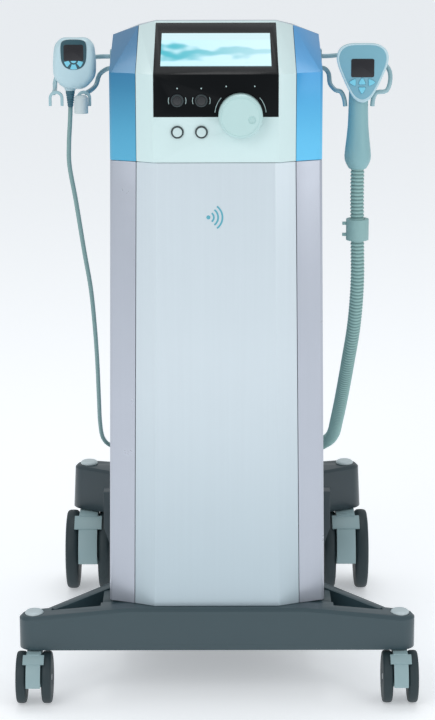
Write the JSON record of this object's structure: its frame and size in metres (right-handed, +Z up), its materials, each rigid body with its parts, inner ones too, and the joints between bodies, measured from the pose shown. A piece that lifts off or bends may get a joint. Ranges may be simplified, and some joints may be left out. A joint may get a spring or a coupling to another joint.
{
  "type": "ultrasound therapy trolley",
  "caption": "Column trolley on castors with a tilted display, control knob and push buttons, and a corded handpiece held in a wire cradle on each side.",
  "frame": {"origin": "centre of the footprint on the floor", "axes": "+X to the right seen from the front, +Y to the back, +Z up"},
  "size_m": [0.537, 0.5573, 0.893],
  "materials": {
    "base_slate": "satin",
    "cap_grey": "satin",
    "castor_hub": "satin",
    "castor_tyre": "matte",
    "steel": "satin",
    "column_silver": "satin metallic",
    "strip_silver": "satin anodised",
    "frame_metal": "satin",
    "fascia_light": "satin",
    "glass_black": "gloss",
    "display": "gloss",
    "cheek_blue": "satin metallic",
    "knob_light": "satin",
    "button_dark": "gloss",
    "button_white": "gloss",
    "ring_dark": "satin",
    "board_green": "satin",
    "cradle_wire": "satin",
    "hand_plastic": "satin",
    "screen_black": "gloss",
    "key_cyan": "satin",
    "relief_slate": "matte",
    "face_blue": "satin metallic",
    "cable_skin": "matte",
    "hose_skin": "matte",
    "connector_dark": "satin",
    "tank_plastic": "satin"
  },
  "bodies": {
    "root": {"base_front_beam": "base_slate", "base_frame": "base_slate", "arm_caps": "cap_grey", "column_front_panel": "column_silver", "corner_strips": "strip_silver", "side_covers": "column_silver", "inner_frame": "frame_metal", "head_fascia": "fascia_light", "control_glass": "glass_black", "display_screen": "display", "cheek_left": "cheek_blue", "cheek_right": "cheek_blue", "head_rear_cover": "column_silver", "control_board": "board_green", "button_rings": "ring_dark", "cradle_left": "cradle_wire", "cradle_right": "cradle_wire", "hose_clip": "hose_skin", "left_cable": "cable_skin", "right_hose": "hose_skin", "cable_plug": "relief_slate", "hose_plug": "relief_slate", "cord_hanger": "connector_dark", "rear_panel": "connector_dark", "power_supply": "frame_metal", "generator_board": "board_green", "cooling_unit": "tank_plastic", "cooling_fan": "connector_dark"},
    "castor_fl_swivel": {"castor_fork_fl": "castor_hub", "castor_axle_fl": "steel"},
    "castor_fl_wheels": {"castor_wheels_fl": "castor_tyre"},
    "castor_fr_swivel": {"castor_fork_fr": "castor_hub", "castor_axle_fr": "steel"},
    "castor_fr_wheels": {"castor_wheels_fr": "castor_tyre"},
    "castor_rl_swivel": {"castor_fork_rl": "castor_hub", "castor_axle_rl": "steel"},
    "castor_rl_wheels": {"castor_wheels_rl": "castor_tyre"},
    "castor_rr_swivel": {"castor_fork_rr": "castor_hub", "castor_axle_rr": "steel"},
    "castor_rr_wheels": {"castor_wheels_rr": "castor_tyre"},
    "knob": {"control_knob": "knob_light"},
    "button_upper_left": {"button_upper_left": "button_dark"},
    "button_upper_right": {"button_upper_right": "button_dark"},
    "button_lower_left": {"button_lower_left": "button_white"},
    "button_lower_right": {"button_lower_right": "button_white"},
    "right_key_up": {"right_key_up": "key_cyan"},
    "right_key_down": {"right_key_down": "key_cyan"},
    "right_key_left": {"right_key_left": "key_cyan"},
    "right_key_right": {"right_key_right": "key_cyan"},
    "left_handpiece": {"left_handpiece_shell": "hand_plastic", "left_handpiece_screen": "screen_black", "left_handpiece_keypad": "key_cyan", "left_strain_relief": "relief_slate", "left_treatment_tip": "steel"},
    "right_handpiece": {"right_handpiece_shell": "hand_plastic", "right_face_plate": "face_blue", "right_screen": "screen_black", "right_applicator": "steel"},
    "spare_tip": {"spare_tip": "cap_grey"},
    "power_switch": {"power_switch": "connector_dark"}
  },
  "joints": [
    {"name": "castor_fl_swivel", "type": "hinge", "parent": "root", "child": "castor_fl_swivel", "pos_m": [-0.2445, -0.2265, 0.073], "axis": [0, 0, 1], "continuous": true},
    {"name": "castor_fr_swivel", "type": "hinge", "parent": "root", "child": "castor_fr_swivel", "pos_m": [0.2445, -0.2265, 0.073], "axis": [0, 0, 1], "continuous": true},
    {"name": "castor_rl_swivel", "type": "hinge", "parent": "root", "child": "castor_rl_swivel", "pos_m": [-0.195, 0.2415, 0.123], "axis": [0, 0, 1], "continuous": true},
    {"name": "castor_rr_swivel", "type": "hinge", "parent": "root", "child": "castor_rr_swivel", "pos_m": [0.195, 0.2415, 0.123], "axis": [0, 0, 1], "continuous": true},
    {"name": "knob_turn", "type": "hinge", "parent": "root", "child": "knob", "pos_m": [0.031, -0.2362, 0.79], "axis": [0, -1, 0], "continuous": true},
    {"name": "button_upper_left_press", "type": "slide", "parent": "root", "child": "button_upper_left", "axis": [0, 1, 0], "range_m": [0, 0.0015], "stiffness_N_per_m": 400, "springref_m": -0.001},
    {"name": "button_upper_right_press", "type": "slide", "parent": "root", "child": "button_upper_right", "axis": [0, 1, 0], "range_m": [0, 0.0015], "stiffness_N_per_m": 400, "springref_m": -0.001},
    {"name": "button_lower_left_press", "type": "slide", "parent": "root", "child": "button_lower_left", "axis": [0, 1, 0], "range_m": [0, 0.0015], "stiffness_N_per_m": 400, "springref_m": -0.001},
    {"name": "button_lower_right_press", "type": "slide", "parent": "root", "child": "button_lower_right", "axis": [0, 1, 0], "range_m": [0, 0.0015], "stiffness_N_per_m": 400, "springref_m": -0.001},
    {"name": "left_handpiece_lift", "type": "slide", "parent": "root", "child": "left_handpiece", "axis": [0, -0.8, 0.6], "range_m": [0, 0.15]},
    {"name": "right_handpiece_lift", "type": "slide", "parent": "root", "child": "right_handpiece", "axis": [0, -0.8, 0.6], "range_m": [0, 0.15]},
    {"name": "spare_tip_pull", "type": "slide", "parent": "root", "child": "spare_tip", "axis": [0, -1, 0], "range_m": [0, 0.04]},
    {"name": "power_switch_rock", "type": "hinge", "parent": "root", "child": "power_switch", "pos_m": [0.0354, 0.126, 0.313], "axis": [1, 0, 0], "range_deg": [0, 16]},
    {"name": "castor_fl_roll", "type": "hinge", "parent": "castor_fl_swivel", "child": "castor_fl_wheels", "pos_m": [-0.2445, -0.2425, 0.035], "axis": [1, 0, 0], "continuous": true},
    {"name": "castor_fr_roll", "type": "hinge", "parent": "castor_fr_swivel", "child": "castor_fr_wheels", "pos_m": [0.2445, -0.2425, 0.035], "axis": [1, 0, 0], "continuous": true},
    {"name": "castor_rl_roll", "type": "hinge", "parent": "castor_rl_swivel", "child": "castor_rl_wheels", "pos_m": [-0.195, 0.2175, 0.06], "axis": [1, 0, 0], "continuous": true},
    {"name": "castor_rr_roll", "type": "hinge", "parent": "castor_rr_swivel", "child": "castor_rr_wheels", "pos_m": [0.195, 0.2175, 0.06], "axis": [1, 0, 0], "continuous": true},
    {"name": "right_key_up_press", "type": "slide", "parent": "right_handpiece", "child": "right_key_up", "axis": [0, 1, 0], "range_m": [0, 0.0008], "stiffness_N_per_m": 300, "springref_m": -0.001},
    {"name": "right_key_down_press", "type": "slide", "parent": "right_handpiece", "child": "right_key_down", "axis": [0, 1, 0], "range_m": [0, 0.0008], "stiffness_N_per_m": 300, "springref_m": -0.001},
    {"name": "right_key_left_press", "type": "slide", "parent": "right_handpiece", "child": "right_key_left", "axis": [0, 1, 0], "range_m": [0, 0.0008], "stiffness_N_per_m": 300, "springref_m": -0.001},
    {"name": "right_key_right_press", "type": "slide", "parent": "right_handpiece", "child": "right_key_right", "axis": [0, 1, 0], "range_m": [0, 0.0008], "stiffness_N_per_m": 300, "springref_m": -0.001}
  ]
}
